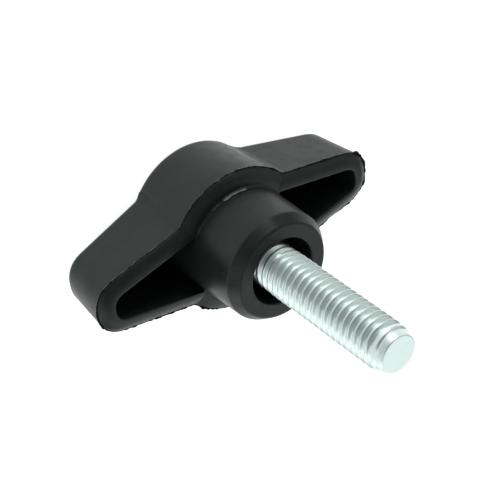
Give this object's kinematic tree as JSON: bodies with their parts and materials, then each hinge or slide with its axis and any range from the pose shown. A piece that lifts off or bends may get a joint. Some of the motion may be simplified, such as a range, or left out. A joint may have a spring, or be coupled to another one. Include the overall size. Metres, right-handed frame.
{
  "type": "wing knob with threaded stud",
  "caption": "Two-winged moulded plastic clamping knob with a round hub, hollow wings, closed back and a moulded-in metric threaded steel stud.",
  "frame": {"origin": "centre of the hub's seating face, on the stud's axis", "axes": "+Z along the stud towards its free tip, +X along the wings; the part stands on the flat round middle of its closed back, which faces -Z"},
  "size_m": [0.0406, 0.0192, 0.0392],
  "materials": {
    "grip_plastic": "satin black moulded polyamide, faint grain",
    "stud_zinc": "bright blue-white zinc plate on rolled steel"
  },
  "bodies": {
    "root": {"wing_grip": "grip_plastic", "threaded_stud": "stud_zinc"}
  },
  "joints": []
}
